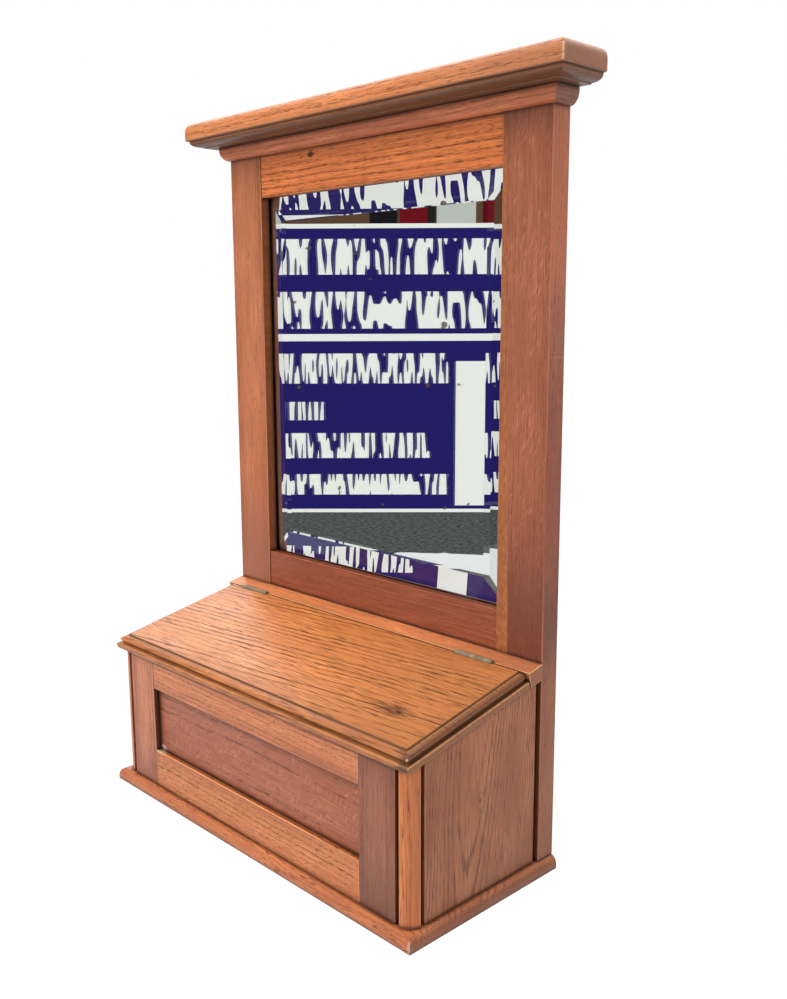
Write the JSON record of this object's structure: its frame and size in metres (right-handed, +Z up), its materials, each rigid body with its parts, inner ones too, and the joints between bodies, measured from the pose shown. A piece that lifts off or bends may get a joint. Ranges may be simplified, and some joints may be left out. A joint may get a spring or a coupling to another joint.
{
  "type": "wall mirror with glove box",
  "caption": "Bevelled mirror in an oak frame under a moulded cornice, with a shallow box below whose sloping moulded lid lifts up on butt hinges.",
  "frame": {"origin": "middle of the base board's underside, at the centre of the bounding box's bottom", "axes": "+Z up, +X to the viewer's right when facing the mirror; the mirror and the box front face -Y and the wall side faces +Y"},
  "size_m": [0.463, 0.1722, 0.6421],
  "materials": {
    "oak_base": "satin wax over stained oak",
    "oak_stile_left": "satin wax over stained oak",
    "oak_stile_right": "satin wax over stained oak",
    "oak_top_rail": "satin wax over stained oak",
    "oak_bottom_rail": "satin wax over stained oak",
    "oak_cornice": "satin wax over stained oak",
    "oak_bed_mould": "satin wax over stained oak",
    "oak_bed_mould_left": "satin wax over stained oak",
    "oak_bed_mould_right": "satin wax over stained oak",
    "oak_post_left": "satin wax over stained oak",
    "oak_post_right": "satin wax over stained oak",
    "oak_side_left": "satin wax over stained oak",
    "oak_side_right": "satin wax over stained oak",
    "oak_front_stile_left": "satin wax over stained oak",
    "oak_front_stile_right": "satin wax over stained oak",
    "oak_front_bottom_rail": "satin wax over stained oak",
    "oak_front_top_rail": "satin wax over stained oak",
    "oak_panel": "satin wax over stained oak",
    "oak_hinge_rail": "satin wax over stained oak",
    "oak_lid": "satin wax over stained oak",
    "backing_wood": "bare, aged",
    "back_wood": "bare, aged",
    "silvered_glass": "clear bevelled glass, silvered on its back",
    "hinge_brass": "dull, tarnished",
    "hinge_screw_brass": "dull, tarnished",
    "plate_brass": "dull",
    "steel": "dull, oxidised"
  },
  "bodies": {
    "cabinet": {"base_board": "oak_base", "stile_left": "oak_stile_left", "stile_right": "oak_stile_right", "top_rail": "oak_top_rail", "bottom_rail": "oak_bottom_rail", "cornice_board": "oak_cornice", "bed_mould_front": "oak_bed_mould", "bed_mould_left": "oak_bed_mould_left", "bed_mould_right": "oak_bed_mould_right", "corner_post_left": "oak_post_left", "corner_post_right": "oak_post_right", "box_side_left": "oak_side_left", "box_side_right": "oak_side_right", "box_front_stile_left": "oak_front_stile_left", "box_front_stile_right": "oak_front_stile_right", "box_front_bottom_rail": "oak_front_bottom_rail", "box_front_top_rail": "oak_front_top_rail", "box_front_panel": "oak_panel", "hinge_rail": "oak_hinge_rail", "mirror_backing": "backing_wood", "box_back": "back_wood", "mirror_glass": "silvered_glass", "hinge_left_rail_leaf": "hinge_brass", "hinge_left_pin": "hinge_brass", "hinge_right_rail_leaf": "hinge_brass", "hinge_right_pin": "hinge_brass", "hinge_left_rail_screw_a": "hinge_screw_brass", "hinge_left_rail_screw_b": "hinge_screw_brass", "hinge_right_rail_screw_a": "hinge_screw_brass", "hinge_right_rail_screw_b": "hinge_screw_brass", "hanging_plate_left": "plate_brass", "hanging_plate_right": "plate_brass", "plate_screw_left_upper": "plate_brass", "plate_screw_left_lower": "plate_brass", "plate_screw_right_upper": "plate_brass", "plate_screw_right_lower": "plate_brass", "base_screw_stile_left": "steel", "base_screw_stile_right": "steel", "base_screw_post_left": "steel", "base_screw_post_right": "steel", "base_screw_front_left": "steel", "base_screw_front_right": "steel", "backing_brad_left_upper": "steel", "backing_brad_left_lower": "steel", "backing_brad_right_upper": "steel", "backing_brad_right_lower": "steel", "backing_brad_top": "steel", "backing_brad_bottom": "steel", "box_back_nail_left_upper": "steel", "box_back_nail_left_lower": "steel", "box_back_nail_right_upper": "steel", "box_back_nail_right_lower": "steel"},
    "lid": {"lid": "oak_lid", "hinge_left_lid_leaf": "hinge_brass", "hinge_right_lid_leaf": "hinge_brass", "hinge_left_lid_screw_a": "hinge_screw_brass", "hinge_left_lid_screw_b": "hinge_screw_brass", "hinge_right_lid_screw_a": "hinge_screw_brass", "hinge_right_lid_screw_b": "hinge_screw_brass"}
  },
  "joints": [
    {"name": "lid_hinge", "type": "hinge", "parent": "cabinet", "child": "lid", "pos_m": [0, 0.0496, 0.1785], "axis": [-1, 0, 0], "range_deg": [0, 109]}
  ]
}
